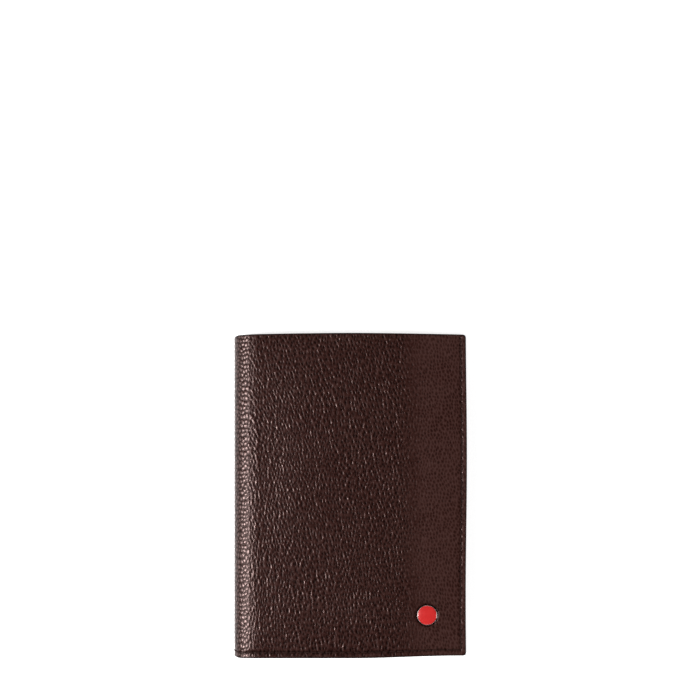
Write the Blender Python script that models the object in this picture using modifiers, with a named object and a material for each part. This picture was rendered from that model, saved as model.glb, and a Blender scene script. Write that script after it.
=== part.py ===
"""A bifold passport holder in leather: an outer cover that wraps round the spine, card slots inside the
front cover, a sleeve for the passport's back cover inside the back cover, and a full-width ticket pocket
open at the head.

The closed holder lies on its back cover. +X runs from the spine to the fore-edge, +Y from the foot to the
head, and +Z out of the front cover. The origin is under the middle of the back cover's outer face. Units
are metres.

Depth means the distance into the holder from the outer face of the cover, on the back and on the front alike.
Where a layer goes round the spine, its depth is measured along the radius.
"""

import math

import bmesh
import bpy
from mathutils import Vector

# Outline of the closed holder
WIDTH = 0.100  # spine to fore-edge
HEIGHT = 0.140  # foot to head
CORNER = 0.0015  # radius of the corners at the fore-edge

# Layers, from the outer face inwards
LEATHER = 0.0010
BOARD = 0.0004
LINING = 0.0003
DIVIDER = 0.0002
PANEL = 0.0005
SLOT = 0.0004
SLEEVE = 0.0006

# Spaces between the layers
GLUE = 0.0002  # between layers that lie on each other
TICKET_SPACE = 0.0004
SLEEVE_SPACE = 0.0004
PASSPORT_SPACE = 0.0043

# Pockets
SLOT_NAMES = ("upper", "middle", "lower")
SLOT_MOUTH_TOP = 0.008  # the upper slot's mouth, above the holder's middle
SLOT_PITCH = 0.014  # from one mouth down to the next
SLOT_DEPTH = 0.052  # mouth to foot, of a slot whose foot isn't the holder's
PANEL_DROP = 0.004  # the inner panels end this far below the head
SLEEVE_DROP = 0.007  # the passport sleeve ends this far below the head
SLEEVE_WIDTH = 0.046
THUMB_LENGTH = 0.040  # chord of the curve cut into the sleeve's mouth
THUMB_DEPTH = 0.006
LINING_DROP = 0.0012  # the lining ends this far below the head
PANEL_FROM_ARC = 0.0005  # from the start of the spine's arc to an inner panel's edge
DIVIDER_TUCK = 0.008  # how far the divider runs under the inner panels

# Stitching
THREAD = 0.0005  # diameter
SEAM_FROM_EDGE = 0.0024  # fore-edge to stitches
SEAM_FROM_FOOT = 0.0026
ROW_FROM_EDGE = 0.0010  # a panel's own edge to its stitches
THREAD_END = 0.0015  # a seam starts this far below the edge that it starts at
SINK = 0.00002  # how far the outer thread lies below the leather's face
CLEARANCE = 0.00015  # round a thread in its groove and a post in its hole
STEP_RUN = 0.0012  # length over which a thread steps from one layer to the next
RAMP = math.radians(30)  # turn of the spine over which the inner thread comes down onto the divider

# Boards end clear of the stitches
BOARD_MARGIN = 0.0012
BOARD_FROM_HEAD = 0.002
BOARD_FROM_ARC = 0.001

# Badge
BADGE_RADIUS = 0.0043
BADGE_FROM_EDGE = 0.0167
BADGE_FROM_FOOT = 0.0179
BADGE_FLOOR = 0.0004
BADGE_RIM = 0.0009  # height of the rim above the leather
BADGE_WALL = 0.0004
ENAMEL_TOP = 0.0015  # height of the enamel's crown above the leather
ENAMEL_EDGE = 0.0010  # height of its edge
POST_RADIUS = 0.0008
WASHER_RADIUS = 0.0030
WASHER_WINDOW = 0.0003  # clearance round the washer in its window in the board

# Folds
FOLD = math.radians(45)  # turn of the spine at which the back cover ends and the spine begins
SPLIT = 0.0002  # space between the two sides of a fold
ARC_STEPS = 8  # facets from the flat to the fold
TURNED_STEPS = 48
CUT = 0.001  # how far cutters run past what they cut

# Depths of the layers' outer faces
BOARD_AT = LEATHER + GLUE
LINING_AT = BOARD_AT + BOARD + GLUE
DIVIDER_AT = LINING_AT + LINING + TICKET_SPACE
PANEL_AT = DIVIDER_AT + DIVIDER + GLUE
SLOT_AT = PANEL_AT + PANEL + GLUE
SLOT_STEP = SLOT + GLUE
SLEEVE_AT = PANEL_AT + PANEL + SLEEVE_SPACE
FRONT_DEPTH = SLOT_AT + len(SLOT_NAMES) * SLOT_STEP - GLUE
BACK_DEPTH = SLEEVE_AT + SLEEVE

# The closed holder's thickness and the spine's arc, which runs from one outer face to the other
THICKNESS = BACK_DEPTH + PASSPORT_SPACE + FRONT_DEPTH
SPINE_RADIUS = THICKNESS / 2
EDGE = WIDTH / 2
HEAD = HEIGHT / 2
FOOT = -HEIGHT / 2
ARC_X = -EDGE + SPINE_RADIUS

PANEL_X = ARC_X + PANEL_FROM_ARC
PANEL_HEAD = HEAD - PANEL_DROP
SLEEVE_HEAD = HEAD - SLEEVE_DROP
SLEEVE_MOUTH = EDGE - SLEEVE_WIDTH
SEAM_X = EDGE - SEAM_FROM_EDGE
SEAM_Y = FOOT + SEAM_FROM_FOOT
SEAM_DEPTH = SINK + THREAD / 2
GROOVE_DEPTH = SINK + THREAD + CLEARANCE
GROOVE_WIDTH = THREAD + 2 * CLEARANCE
INNER_THREAD = GLUE + THREAD / 2  # from a layer's inner face to the middle of the thread on it
BADGE_X = EDGE - BADGE_FROM_EDGE
BADGE_Y = FOOT + BADGE_FROM_FOOT

# Each fold turns about a line just outside the leather, so that its two sides part as the holder opens. From
# this point the spine, opened a right angle at each fold, is as wide as its outer arc is long, and both
# covers lie flat.
PIVOT_OUT = math.pi / 4 * SPINE_RADIUS
PIVOTS = {
    "back_cover": Vector((0, 0, 0)),
    "spine": Vector((ARC_X - PIVOT_OUT, 0, SPINE_RADIUS - PIVOT_OUT)),
    "front_cover": Vector((ARC_X - PIVOT_OUT, 0, SPINE_RADIUS + PIVOT_OUT)),
}

# Base colour, roughness and metallic value of each material
FINISHES = {
    "outer_leather": ((0.042, 0.018, 0.014, 1), 0.5, 0),
    "inner_leather": ((0.035, 0.016, 0.012, 1), 0.55, 0),
    "lining_fabric": ((0.020, 0.012, 0.010, 1), 0.85, 0),
    "board": ((0.30, 0.24, 0.18, 1), 0.9, 0),
    "thread": ((0.028, 0.013, 0.010, 1), 0.7, 0),
    "bezel": ((0.62, 0.58, 0.52, 1), 0.25, 1),
    "enamel": ((0.45, 0.012, 0.018, 1), 0.12, 0),
}


def clear_scene():
    for obj in list(bpy.data.objects):
        bpy.data.objects.remove(obj, do_unlink=True)


def new_collection(name):
    collection = bpy.data.collections.new(name)
    bpy.context.scene.collection.children.link(collection)
    return collection


def new_material(name, finish):
    """A Principled material of one sub-part's own, in one of the finishes."""
    colour, roughness, metallic = FINISHES[finish]
    material = bpy.data.materials.new(name)
    material.use_nodes = True
    material.diffuse_color = colour
    shader = material.node_tree.nodes["Principled BSDF"]
    shader.inputs["Base Color"].default_value = colour
    shader.inputs["Roughness"].default_value = roughness
    shader.inputs["Metallic"].default_value = metallic
    return material


def make_pivots(parts):
    """An empty on each fold's axis. A body's pieces hang on its empty, and each empty on the one before."""
    pivots, before = {}, None
    for body, place in PIVOTS.items():
        empty = bpy.data.objects.new(body + "_pivot", None)
        empty.empty_display_size = 0.01
        empty.location = place - PIVOTS[before] if before else place
        empty.parent = pivots[before] if before else None
        parts.objects.link(empty)
        pivots[body], before = empty, body
    return pivots


class Holder:
    """Collects the pieces of the holder and gives each its name, material and body."""

    def __init__(self):
        self.parts = new_collection("passport_holder")
        self.cutters = new_collection("passport_holder_cutters")
        self.pivots = make_pivots(self.parts)

    def add(self, name, data, place, body, finish):
        """Links a piece whose data is centred on place, and hangs it on its body's empty."""
        data.materials.append(new_material(name, finish))
        piece = bpy.data.objects.new(name, data)
        piece.parent = self.pivots[body]
        piece.location = place - PIVOTS[body]
        self.parts.objects.link(piece)
        return piece

    def cut(self, piece, label, mesh, place):
        """Subtracts a mesh centred on place from a piece."""
        cutter = bpy.data.objects.new(piece.name + "_" + label, mesh)
        cutter.location = place
        cutter.hide_render = True
        cutter.display_type = "WIRE"
        self.cutters.objects.link(cutter)
        boolean = piece.modifiers.new(label, "BOOLEAN")
        boolean.operation = "DIFFERENCE"
        boolean.solver = "EXACT"
        boolean.object = cutter


def outward(cover, depth):
    """Height of a flat layer's face at this depth in the back or the front cover."""
    return depth if cover == "back" else THICKNESS - depth


def arc_points(depth, start, stop, steps):
    """(x, z) points round the spine at one depth. Turn 0 is at the back cover's flat, pi at the front's."""
    radius = SPINE_RADIUS - depth
    turns = [start + (stop - start) * i / steps for i in range(steps + 1)]
    return [(ARC_X - radius * math.sin(t), SPINE_RADIUS - radius * math.cos(t)) for t in turns]


def cover_face(cover, depth, reach, fold):
    """(x, z) points of a layer's face in one cover: flat from reach to the spine's arc, then to the fold."""
    points = [(reach, depth)] + arc_points(depth, 0, fold, ARC_STEPS)
    return points if cover == "back" else [(x, THICKNESS - z) for x, z in points]


def spine_face(depth, fold):
    return arc_points(depth, fold, math.pi - fold, 2 * ARC_STEPS)


def half_split(depth):
    """The turn that leaves half of SPLIT at this depth."""
    return SPLIT / 2 / (SPINE_RADIUS - depth)


def band_mesh(name, outer, inner, length, corner=0.0):
    """A layer's section between two faces, extruded along Y, with its fore-edge corners rounded."""
    outline = outer + inner[::-1]
    curve = bpy.data.curves.new(name, "CURVE")
    curve.dimensions = "2D"
    curve.fill_mode = "BOTH"
    curve.extrude = length / 2
    spline = curve.splines.new("POLY")
    spline.points.add(len(outline) - 1)
    for point, (x, z) in zip(spline.points, outline, strict=True):
        point.co = (x, z, 0, 1)
    spline.use_cyclic_u = True
    guide = bpy.data.objects.new(name, curve)
    bpy.context.scene.collection.objects.link(guide)
    graph = bpy.context.evaluated_depsgraph_get()
    mesh = bpy.data.meshes.new_from_object(guide.evaluated_get(graph))
    bpy.data.objects.remove(guide, do_unlink=True)
    bpy.data.curves.remove(curve)
    shape = bmesh.new()
    shape.from_mesh(mesh)
    bmesh.ops.remove_doubles(shape, verts=shape.verts, dist=1e-6)
    # The section was drawn in the XY plane, so it is stood up: its Y becomes Z.
    for vert in shape.verts:
        vert.co = Vector((vert.co.x, -vert.co.z, vert.co.y))
    for end in (-length / 2, length / 2):
        cap = [face for face in shape.faces if all(abs(vert.co.y - end) < 1e-6 for vert in face.verts)]
        bmesh.ops.dissolve_faces(shape, faces=cap)
    round_corners(shape, corner)
    return finished(shape, mesh)


def round_corners(shape, corner):
    """Rounds the short upright edges at the fore-edge."""
    if not corner:
        return
    far = max(vert.co.x for vert in shape.verts)
    upright = [
        edge
        for edge in shape.edges
        if all(abs(vert.co.x - far) < 1e-6 for vert in edge.verts)
        and abs(edge.verts[0].co.y - edge.verts[1].co.y) < 1e-6
    ]
    bmesh.ops.bevel(shape, geom=upright, offset=corner, segments=4, profile=0.5, affect="EDGES")


def finished(shape, mesh):
    bmesh.ops.recalc_face_normals(shape, faces=shape.faces)
    shape.to_mesh(mesh)
    shape.free()
    mesh.materials.clear()
    return mesh


def box_mesh(name, size, corner=0.0):
    """A box centred on its own origin."""
    shape = bmesh.new()
    bmesh.ops.create_cube(shape, size=1)
    bmesh.ops.scale(shape, vec=size, verts=shape.verts)
    round_corners(shape, corner)
    return finished(shape, bpy.data.meshes.new(name))


def cylinder_mesh(name, radius, length):
    shape = bmesh.new()
    bmesh.ops.create_cone(
        shape, cap_ends=True, segments=TURNED_STEPS, radius1=radius, radius2=radius, depth=length
    )
    return finished(shape, bpy.data.meshes.new(name))


def thread_curve(name, points):
    """A thread along these points, as a round bead with closed ends."""
    curve = bpy.data.curves.new(name, "CURVE")
    curve.dimensions = "3D"
    curve.bevel_depth = THREAD / 2
    curve.bevel_resolution = 2
    curve.use_fill_caps = True
    spline = curve.splines.new("POLY")
    spline.points.add(len(points) - 1)
    for point, place in zip(spline.points, points, strict=True):
        point.co = (*place, 1)
    return curve


def flat_piece(holder, name, cover, finish, depth, thickness, low, high):
    """A flat layer between two (x, y) corners, whose corners at the fore-edge match the cover's."""
    size = Vector((high[0] - low[0], high[1] - low[1], thickness))
    middle = (outward(cover, depth) + outward(cover, depth + thickness)) / 2
    place = Vector(((low[0] + high[0]) / 2, (low[1] + high[1]) / 2, middle))
    return holder.add(name, box_mesh(name, size, CORNER), place, cover + "_cover", finish)


def wrapped_layer(holder, label, finish, depth, thickness, head, reach):
    """One sheet that runs from the back cover round the spine to the front cover, split at both folds."""
    length, middle = head - FOOT, Vector((0, (head + FOOT) / 2, 0))
    faces = (depth, depth + thickness)
    pieces = {}
    for cover in ("back", "front"):
        outer, inner = (cover_face(cover, face, reach, FOLD - half_split(face)) for face in faces)
        corner = CORNER if reach == EDGE else 0.0
        name = f"{cover}_{label}"
        band = band_mesh(name, outer, inner, length, corner)
        pieces[cover] = holder.add(name, band, middle, cover + "_cover", finish)
    outer, inner = (spine_face(face, FOLD + half_split(face)) for face in faces)
    name = f"spine_{label}"
    pieces["spine"] = holder.add(name, band_mesh(name, outer, inner, length), middle, "spine", finish)
    return pieces


def groove_leather(holder, leather):
    """Cuts the outer thread's channel: along the fore-edges and the foot, and round the spine."""
    past, reach = FOLD + half_split(LEATHER) * 4, SEAM_X + GROOVE_WIDTH / 2
    for cover in ("back", "front"):
        outer, inner = (cover_face(cover, face, reach, past) for face in (-CUT, GROOVE_DEPTH))
        foot = band_mesh("foot_groove", outer, inner, GROOVE_WIDTH)
        holder.cut(leather[cover], "foot_groove", foot, Vector((0, SEAM_Y, 0)))
        low_y, high_y = SEAM_Y - GROOVE_WIDTH / 2, HEAD + CUT
        size = Vector((GROOVE_WIDTH, high_y - low_y, GROOVE_DEPTH + CUT))
        middle = (outward(cover, -CUT) + outward(cover, GROOVE_DEPTH)) / 2
        edge = box_mesh("edge_groove", size)
        holder.cut(leather[cover], "edge_groove", edge, Vector((SEAM_X, (low_y + high_y) / 2, middle)))
    before = FOLD - half_split(LEATHER) * 4
    outer, inner = (spine_face(face, before) for face in (-CUT, GROOVE_DEPTH))
    foot = band_mesh("foot_groove", outer, inner, GROOVE_WIDTH)
    holder.cut(leather["spine"], "foot_groove", foot, Vector((0, SEAM_Y, 0)))


def make_outer_cover(holder):
    leather = wrapped_layer(holder, "leather", "outer_leather", 0, LEATHER, HEAD, EDGE)
    groove_leather(holder, leather)
    hole = cylinder_mesh("post_hole", POST_RADIUS + CLEARANCE, LEATHER + 2 * CUT)
    holder.cut(leather["front"], "post_hole", hole, Vector((BADGE_X, BADGE_Y, outward("front", LEATHER / 2))))


def make_boards(holder):
    low = (ARC_X + BOARD_FROM_ARC, SEAM_Y + BOARD_MARGIN)
    high = (SEAM_X - BOARD_MARGIN, HEAD - BOARD_FROM_HEAD)
    for cover in ("back", "front"):
        board = flat_piece(holder, f"{cover}_stiffener", cover, "board", BOARD_AT, BOARD, low, high)
    window = cylinder_mesh("washer_window", WASHER_RADIUS + WASHER_WINDOW, BOARD + 2 * CUT)
    middle = outward("front", BOARD_AT + BOARD / 2)
    holder.cut(board, "washer_window", window, Vector((BADGE_X, BADGE_Y, middle)))


def make_linings(holder):
    wrapped_layer(holder, "lining", "lining_fabric", LINING_AT, LINING, HEAD - LINING_DROP, EDGE)
    wrapped_layer(holder, "divider", "lining_fabric", DIVIDER_AT, DIVIDER, PANEL_HEAD, ARC_X + DIVIDER_TUCK)


def make_inner_panels(holder):
    for cover in ("back", "front"):
        name = f"{cover}_inner_panel"
        low, high = (PANEL_X, FOOT), (EDGE, PANEL_HEAD)
        flat_piece(holder, name, cover, "inner_leather", PANEL_AT, PANEL, low, high)


def slot_mouth(index):
    return SLOT_MOUTH_TOP - index * SLOT_PITCH


def slot_foot(index):
    """The lowest slot ends with the holder, and the others above it."""
    last = index == len(SLOT_NAMES) - 1
    return FOOT if last else max(FOOT, slot_mouth(index) - SLOT_DEPTH)


def make_card_slots(holder):
    """Three stepped slots. All but the lowest are sewn down at the foot, in a slit that the thread fills."""
    for index, label in enumerate(SLOT_NAMES):
        depth = SLOT_AT + index * SLOT_STEP
        low, high = (PANEL_X, slot_foot(index)), (EDGE, slot_mouth(index))
        slot = flat_piece(holder, f"card_slot_{label}", "front", "inner_leather", depth, SLOT, low, high)
        if index == len(SLOT_NAMES) - 1:
            continue
        row_y = slot_foot(index) + ROW_FROM_EDGE + THREAD
        ends = (PANEL_X + 2 * ROW_FROM_EDGE, SEAM_X - ROW_FROM_EDGE)
        middle = Vector(((ends[0] + ends[1]) / 2, row_y, outward("front", depth + SLOT / 2)))
        slit = Vector((ends[1] - ends[0] + 2 * CLEARANCE, GROOVE_WIDTH, SLOT + 2 * CUT))
        holder.cut(slot, "slit", box_mesh("slit", slit), middle)
        half = Vector(((ends[1] - ends[0]) / 2, 0, 0))
        name = f"slot_thread_{label}"
        row = thread_curve(name, [-half, half])
        row.bevel_depth = SLOT / 2
        holder.add(name, row, middle, "front_cover", "thread")


def make_passport_sleeve(holder):
    low, high = (SLEEVE_MOUTH, FOOT), (EDGE, SLEEVE_HEAD)
    sleeve = flat_piece(holder, "passport_sleeve", "back", "inner_leather", SLEEVE_AT, SLEEVE, low, high)
    radius = ((THUMB_LENGTH / 2) ** 2 + THUMB_DEPTH**2) / (2 * THUMB_DEPTH)
    middle = outward("back", SLEEVE_AT + SLEEVE / 2)
    place = Vector((SLEEVE_MOUTH + THUMB_DEPTH - radius, (FOOT + SLEEVE_HEAD) / 2, middle))
    curve = cylinder_mesh("thumb_curve", radius, SLEEVE + 2 * CUT)
    holder.cut(sleeve, "thumb_curve", curve, place)


def stepped_run(cover, x, head, first_face, steps):
    """Points of an inner thread that runs down at x, over layers that step towards the holder's middle.

    first_face is the depth of the face that it starts on, and steps is [(the next layer's edge, its face)].
    """
    depth = first_face + INNER_THREAD
    points = [(x, head - THREAD_END, outward(cover, depth))]
    for edge, face in steps:
        before = edge + CLEARANCE + THREAD / 2
        points.append((x, before + STEP_RUN, outward(cover, depth)))
        depth = face + INNER_THREAD
        points.append((x, before, outward(cover, depth)))
    return points


def slot_steps():
    """The mouths of the card slots and the depths of their inner faces."""
    return [(slot_mouth(i), SLOT_AT + i * SLOT_STEP + SLOT) for i in range(len(SLOT_NAMES))]


def ramped_arc(cover, depth_from, depth_to):
    """(x, z) points round to the fold, coming from one depth to the other over the first part of the turn."""
    stop = FOLD - half_split(depth_to) * 2
    points = []
    for i in range(1, 2 * ARC_STEPS + 1):
        turn = stop * i / (2 * ARC_STEPS)
        share = max(0.0, 1 - turn / RAMP)
        depth = depth_to + (depth_from - depth_to) * share**2
        radius = SPINE_RADIUS - depth
        height = SPINE_RADIUS - radius * math.cos(turn)
        points.append((ARC_X - radius * math.sin(turn), outward(cover, height)))
    return points


def outer_seam(cover):
    """The needle thread: down the fore-edge, along the foot and round to the fold."""
    fold = FOLD - half_split(SEAM_DEPTH) * 2
    foot = [(x, SEAM_Y, z) for x, z in cover_face(cover, SEAM_DEPTH, SEAM_X, fold)]
    return [(SEAM_X, HEAD - THREAD_END, foot[0][2])] + foot


def inner_seam(cover):
    """The bobbin thread: the same run on the inner faces, over every layer that the seam passes through."""
    panel = (PANEL_HEAD, PANEL_AT + PANEL)
    steps = [panel, (SLEEVE_HEAD, BACK_DEPTH)] if cover == "back" else [panel] + slot_steps()
    down = stepped_run(cover, SEAM_X, HEAD - LINING_DROP, LINING_AT + LINING, steps)
    depth = steps[-1][1] + INNER_THREAD
    foot = [(SEAM_X, SEAM_Y, outward(cover, depth))]
    if cover == "back":
        past = SLEEVE_MOUTH - CLEARANCE - THREAD / 2
        foot.append((past, SEAM_Y, outward(cover, depth)))
        depth = PANEL_AT + PANEL + INNER_THREAD
        foot.append((past - STEP_RUN, SEAM_Y, outward(cover, depth)))
    foot.append((ARC_X, SEAM_Y, outward(cover, depth)))
    divider = DIVIDER_AT + DIVIDER + INNER_THREAD
    foot += [(x, SEAM_Y, z) for x, z in ramped_arc(cover, depth, divider)]
    return down + foot


def add_thread(holder, name, points, body):
    holder.add(name, thread_curve(name, points), Vector((0, 0, 0)), body, "thread")


def make_seams(holder):
    for cover in ("back", "front"):
        body = cover + "_cover"
        add_thread(holder, f"{cover}_seam_needle_thread", outer_seam(cover), body)
        add_thread(holder, f"{cover}_seam_bobbin_thread", inner_seam(cover), body)
    inner = DIVIDER_AT + DIVIDER + INNER_THREAD
    for label, depth in (("needle", SEAM_DEPTH), ("bobbin", inner)):
        points = [(x, SEAM_Y, z) for x, z in spine_face(depth, FOLD + half_split(depth) * 2)]
        add_thread(holder, f"spine_seam_{label}_thread", points, "spine")


def make_panel_rows(holder):
    """The rows along the panels' spine edges, which hold them to the divider, and along the sleeve's top."""
    row_x, foot = PANEL_X + ROW_FROM_EDGE, SEAM_Y + THREAD + 2 * CLEARANCE
    face = PANEL_AT + PANEL
    for cover, steps in (("back", []), ("front", slot_steps())):
        points = stepped_run(cover, row_x, PANEL_HEAD, face, steps)
        points.append((row_x, foot, points[-1][2]))
        add_thread(holder, f"{cover}_panel_spine_thread", points, cover + "_cover")
    height = outward("back", BACK_DEPTH + INNER_THREAD)
    row_y = SLEEVE_HEAD - ROW_FROM_EDGE - THREAD_END
    ends = (SLEEVE_MOUTH + ROW_FROM_EDGE, SEAM_X - THREAD - 2 * CLEARANCE)
    add_thread(holder, "sleeve_top_thread", [(x, row_y, height) for x in ends], "back_cover")


def turned_piece(holder, name, profile, closed, finish):
    """A round piece on the badge's axis. The profile is (radius, height above the front cover)."""
    shape = bmesh.new()
    verts = [shape.verts.new((radius, 0, height)) for radius, height in profile]
    pairs = list(zip(verts, verts[1:], strict=False)) + ([(verts[-1], verts[0])] if closed else [])
    for pair in pairs:
        shape.edges.new(pair)
    mesh = bpy.data.meshes.new(name)
    shape.to_mesh(mesh)
    shape.free()
    piece = holder.add(name, mesh, Vector((BADGE_X, BADGE_Y, THICKNESS)), "front_cover", finish)
    screw = piece.modifiers.new("turn", "SCREW")
    screw.axis = "Z"
    screw.angle = 2 * math.pi
    screw.steps = TURNED_STEPS
    screw.render_steps = TURNED_STEPS
    screw.use_merge_vertices = True
    screw.merge_threshold = 1e-6
    return piece


def make_badge(holder):
    """A metal cup on a post, its enamel filling and the washer behind the leather."""
    inner, floor, post_end = BADGE_RADIUS - BADGE_WALL, GLUE + BADGE_FLOOR, -(LEATHER + GLUE + BOARD)
    cup = [
        (0, floor),
        (inner, floor),
        (inner, BADGE_RIM),
        (BADGE_RADIUS, BADGE_RIM),
        (BADGE_RADIUS, GLUE),
        (POST_RADIUS, GLUE),
        (POST_RADIUS, post_end),
        (0, post_end),
    ]
    turned_piece(holder, "badge_cup", cup, False, "bezel")
    radius, steps = inner - GLUE, 6
    quarter = [math.pi / 2 * i / steps for i in range(steps + 1)]
    dome = [(radius * math.sin(t), ENAMEL_EDGE + (ENAMEL_TOP - ENAMEL_EDGE) * math.cos(t)) for t in quarter]
    turned_piece(holder, "badge_enamel", dome + [(radius, floor + GLUE), (0, floor + GLUE)], False, "enamel")
    top, hole = -(LEATHER + GLUE), POST_RADIUS + CLEARANCE
    ring = [(hole, top), (WASHER_RADIUS, top), (WASHER_RADIUS, top - BOARD), (hole, top - BOARD)]
    turned_piece(holder, "badge_washer", ring, True, "bezel")


def main():
    clear_scene()
    holder = Holder()
    make_outer_cover(holder)
    make_boards(holder)
    make_linings(holder)
    make_inner_panels(holder)
    make_card_slots(holder)
    make_passport_sleeve(holder)
    make_seams(holder)
    make_panel_rows(holder)
    make_badge(holder)


main()
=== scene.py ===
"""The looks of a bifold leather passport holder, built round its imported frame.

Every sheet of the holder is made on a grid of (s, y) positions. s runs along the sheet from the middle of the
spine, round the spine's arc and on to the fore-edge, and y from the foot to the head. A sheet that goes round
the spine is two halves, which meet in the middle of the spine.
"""

import math

import bpy
import numpy as np
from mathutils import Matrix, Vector


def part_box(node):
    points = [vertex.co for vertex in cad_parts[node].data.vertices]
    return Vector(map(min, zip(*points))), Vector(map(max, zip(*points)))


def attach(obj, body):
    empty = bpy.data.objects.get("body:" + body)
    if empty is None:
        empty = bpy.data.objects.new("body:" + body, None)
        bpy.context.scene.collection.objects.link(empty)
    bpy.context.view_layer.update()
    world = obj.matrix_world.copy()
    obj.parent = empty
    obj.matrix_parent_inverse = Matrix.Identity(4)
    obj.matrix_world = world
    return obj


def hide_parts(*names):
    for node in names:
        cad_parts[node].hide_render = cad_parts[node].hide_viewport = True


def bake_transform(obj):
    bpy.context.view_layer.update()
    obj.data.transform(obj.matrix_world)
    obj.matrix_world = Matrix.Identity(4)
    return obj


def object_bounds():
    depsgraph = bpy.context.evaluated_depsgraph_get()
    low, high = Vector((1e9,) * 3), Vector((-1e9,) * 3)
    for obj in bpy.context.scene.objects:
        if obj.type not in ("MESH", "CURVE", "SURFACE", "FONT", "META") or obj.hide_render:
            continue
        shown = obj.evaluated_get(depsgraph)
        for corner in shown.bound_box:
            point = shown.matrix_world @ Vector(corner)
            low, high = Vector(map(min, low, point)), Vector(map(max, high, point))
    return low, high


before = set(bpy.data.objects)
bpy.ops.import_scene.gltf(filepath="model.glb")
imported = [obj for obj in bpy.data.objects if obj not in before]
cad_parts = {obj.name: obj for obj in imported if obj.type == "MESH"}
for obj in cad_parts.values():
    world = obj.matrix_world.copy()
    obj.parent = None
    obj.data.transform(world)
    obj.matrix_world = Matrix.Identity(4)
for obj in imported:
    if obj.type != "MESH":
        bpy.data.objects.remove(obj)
cad_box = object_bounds()

MM = 0.001
COVERS = ("back", "front")

# The frame's own sizes
FRONT_LOW, FRONT_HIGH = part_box("front_leather")
SPINE_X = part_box("spine_leather")[0][0]
EDGE = FRONT_HIGH[0]
FOOT = FRONT_LOW[1]
HEAD = FRONT_HIGH[1]
THICK = FRONT_HIGH[2]
RADIUS = THICK / 2
ARC_X = SPINE_X + RADIUS
QUARTER = math.pi / 2
LENGTH = QUARTER * RADIUS + EDGE - ARC_X  # of the outer face, from the middle of the spine to the fore-edge

# Sheets of the cover: their thicknesses, and the depths of the outer faces of those inside
LEATHER = 1.0 * MM
LINING = 0.3 * MM
DIVIDER = 0.2 * MM
LINING_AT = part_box("back_lining")[0][2]
DIVIDER_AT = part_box("back_divider")[0][2]
CORNER = 1.4 * MM  # radius of the corners at the fore-edge
LEATHER_EDGE = 0.4 * MM  # how far the outer leather's edge is rounded off on its face
LEATHER_BACK_EDGE = 0.2 * MM  # and on its far side

# Pockets
PANEL_CORNER = 1.0 * MM
FOLD_LINE = 1.3 * MM  # from a pocket's edge to the line pressed along it
SET_IN = 0.1 * MM  # a sheet ends this far inside its node at the foot and the fore-edge
THUMB_CHORD = 40 * MM
THUMB_DEPTH = 6 * MM

# Stitching, whose lines are the middle of the frame's plain threads
THREAD = 0.5 * MM
PITCH = 3.1 * MM
SEAM_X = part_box("front_seam_needle_thread")[1][0] - THREAD / 2
SEAM_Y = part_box("front_seam_needle_thread")[0][1] + THREAD / 2
SEAM_TOP = HEAD - 1.5 * MM
ROW_END = 0.5 * MM  # a row's last holes lie this far inside its node
SEAM_S = SEAM_X - ARC_X + QUARTER * RADIUS
EDGE_HOLES = round((SEAM_TOP - SEAM_Y) / PITCH)
EDGE_PITCH = (SEAM_TOP - SEAM_Y) / EDGE_HOLES
FOOT_HOLES = round(SEAM_S / PITCH)
FOOT_PITCH = SEAM_S / FOOT_HOLES

# Badge
CUP_LOW, CUP_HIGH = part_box("badge_cup")
BADGE_X = (CUP_LOW[0] + CUP_HIGH[0]) / 2
BADGE_Y = (CUP_LOW[1] + CUP_HIGH[1]) / 2
BADGE_RADIUS = (CUP_HIGH[0] - CUP_LOW[0]) / 2
BADGE_WALL = 0.2 * MM
BADGE_DOME = 0.3 * MM  # height of the enamel's middle above the rim
POST_RADIUS = 0.8 * MM

# How the outline of the real holder leaves the straight
HEAD_BOW = 0.75 * MM  # the head's ends lie this far below its middle
SPINE_PULL = 0.3 * MM  # and the corner at the spine further still
SPINE_ROUND = 0.5 * MM  # both ends of the spine are rounded by this much
FOOT_RISE = 1.15 * MM  # the foot's end at the fore-edge lies this far above the rest
EDGE_WAVE = 0.25 * MM  # how far the fore-edge wanders

# Relief of the outer leather
CROWN = 0.22 * MM  # how far the middle of a cover rises
LAIN_ON = 0.15  # what is left of the crown under the holder, which lies on its back
SPINE_EASE = 0.28 * MM  # how far the cover falls off towards the spine
EASE_START = -2.5 * MM  # the fall-off runs between these distances from the spine's arc
EASE_RUN = 3.4 * MM
SEAM_SINK = 0.07 * MM  # depth of the seam's furrow
HOLE_SINK = 0.09 * MM  # and of the leather round a needle hole, below it
SEAT = 0.12 * MM  # height of the leather under the badge

# Grain of the outer leather, in millimetres from the middle of the spine
SPINE_GRAIN = (8.5, 13)  # where the spine's pebbles pass into the cover's ridges
EDGE_GRAIN = (74, 88)  # and where these pass into the fine grain near the fore-edge

# Distances between grid lines, round the holder and along it
BODY_STEP = (0.21 * MM, 0.33 * MM)
INNER_STEP = (0.5 * MM, 0.6 * MM)
CLOTH_STEP = (1.2 * MM, 1.6 * MM)

# The floor lies this far under the frame, because the back's relief reaches a little past the frame
FLOOR_DROP = 0.3 * MM


# ---------------------------------------------------------------- numbers


def smooth(value, low, high):
    """0 below low, 1 above high and a smooth rise between them."""
    t = np.clip((value - low) / (high - low), 0, 1)
    return t * t * (3 - 2 * t)


def hashed(i, j, seed):
    """A repeatable random number from 0 to 1 for each cell of a lattice."""
    n = (i.astype(np.int64) * 374761393 + j.astype(np.int64) * 668265263 + seed * 974634777) & 0xFFFFFFFF
    n = ((n ^ (n >> 13)) * 1274126177) & 0xFFFFFFFF
    n = ((n ^ (n >> 16)) * 2246822519) & 0xFFFFFFFF
    return ((n ^ (n >> 15)) & 0xFFFF) / 65535


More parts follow.
